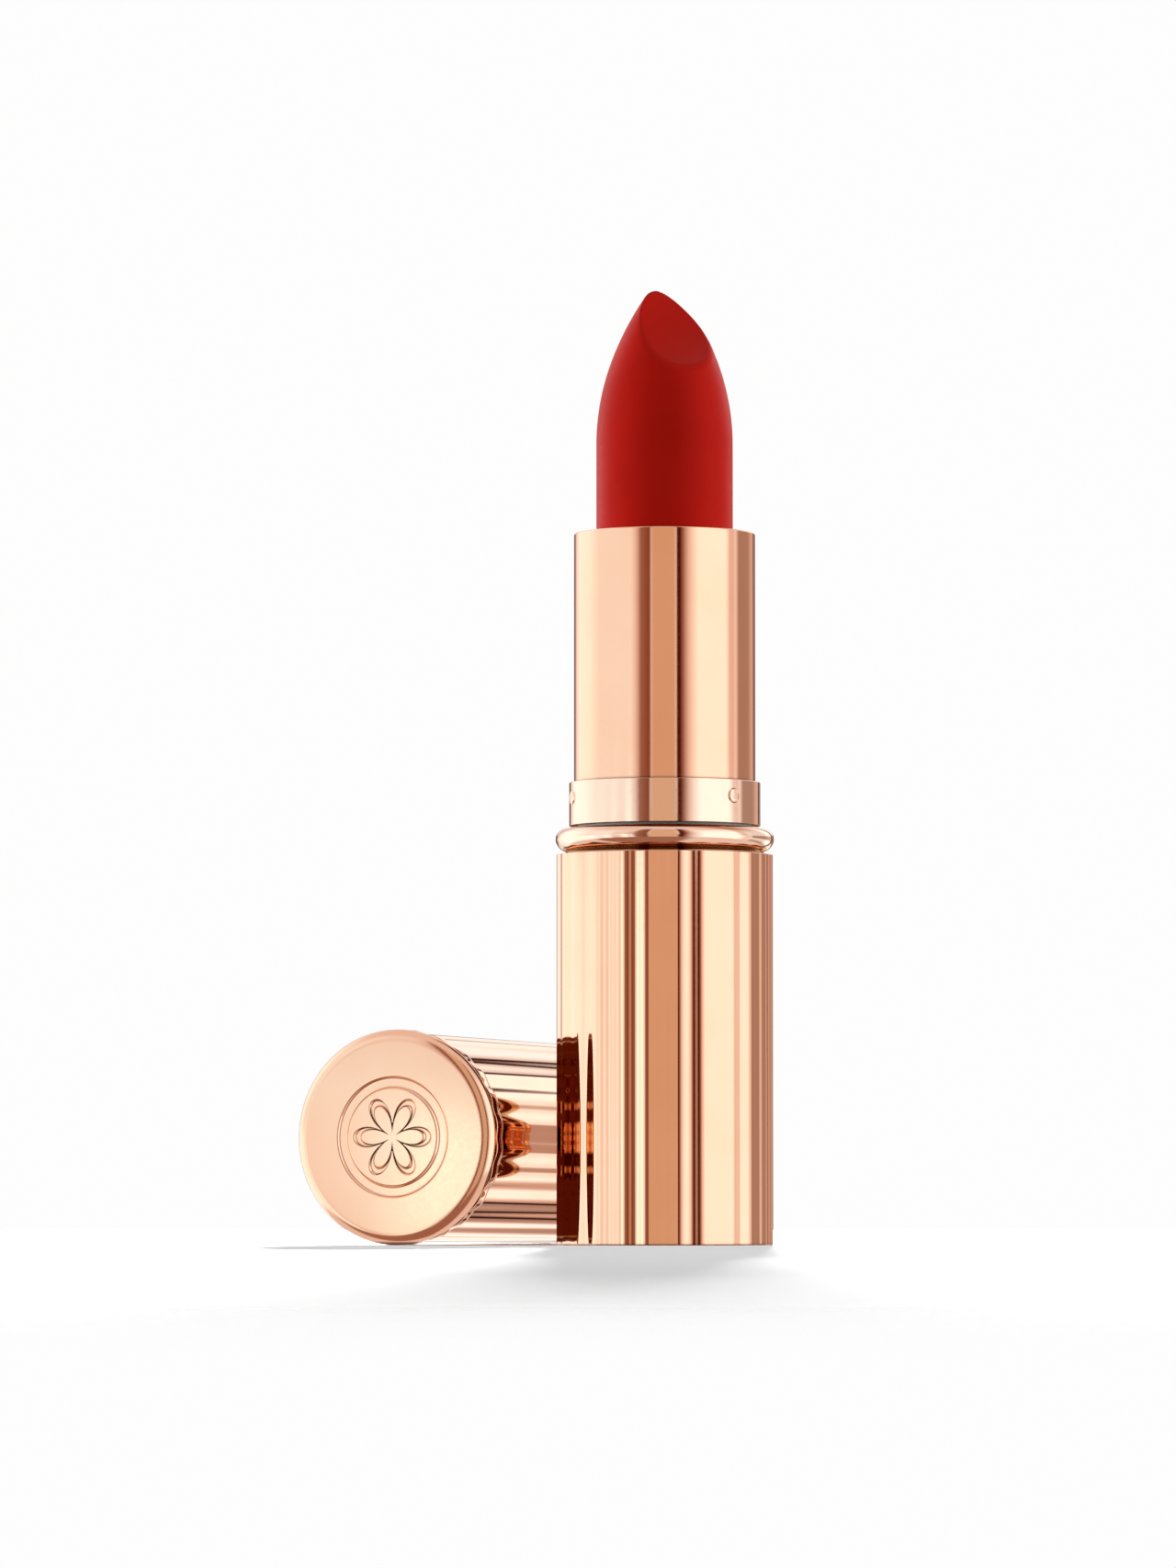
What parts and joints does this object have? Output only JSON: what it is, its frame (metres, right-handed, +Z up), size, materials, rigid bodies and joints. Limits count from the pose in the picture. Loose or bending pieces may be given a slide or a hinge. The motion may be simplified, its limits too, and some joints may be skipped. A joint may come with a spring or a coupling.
{
  "type": "lipstick case",
  "caption": "Upright lipstick case with a fluted base, swivel sleeve and raised slanted bullet, and its fluted cap lying beside it.",
  "frame": {"origin": "centre of the case's foot, on the surface that it stands on", "axes": "+Z up along the case's axis, -Y towards the front, +X to the right; the cap lies behind and to the left"},
  "size_m": [0.0437, 0.0452, 0.0882],
  "materials": {
    "fluted_metal": "polished rose-gold anodised",
    "tube_metal": "polished rose-gold anodised",
    "pale_metal": "polished pale rose-gold anodised",
    "medallion_metal": "soft polished rose-gold anodised",
    "liner_plastic": "natural moulded",
    "guide_plastic": "natural moulded",
    "weight_steel": "turned",
    "brake_rubber": "matte",
    "label_paper": "satin paper",
    "bullet_wax": "satin wax"
  },
  "bodies": {
    "base": {"base_shell": "fluted_metal", "base_liner": "liner_plastic", "base_weight": "weight_steel", "base_label": "label_paper", "trim_ring": "pale_metal", "guide_tube": "guide_plastic", "brake_ring": "brake_rubber"},
    "sleeve": {"spiral_sleeve": "guide_plastic", "sleeve_tube": "tube_metal", "snap_collar": "pale_metal"},
    "carrier": {"bullet_cup": "guide_plastic", "bullet": "bullet_wax"},
    "cap": {"cap_shell": "fluted_metal", "cap_liner": "liner_plastic", "cap_medallion": "medallion_metal"}
  },
  "joints": [
    {"name": "sleeve_twist", "type": "hinge", "parent": "base", "child": "sleeve", "pos_m": [0, 0, 0.0385], "axis": [0, 0, 1], "range_deg": [0, 540]},
    {"name": "bullet_rise", "type": "slide", "parent": "base", "child": "carrier", "axis": [0, 0, 1], "range_m": [-0.02401, 0]},
    {"name": "cap_lift", "type": "slide", "parent": "base", "child": "cap", "axis": [0, 0, 1], "range_m": [0, 0.095]}
  ],
  "couplings": [
    {"joint": "bullet_rise", "follows": "sleeve_twist", "m_per_rad": -0.0025465}
  ]
}
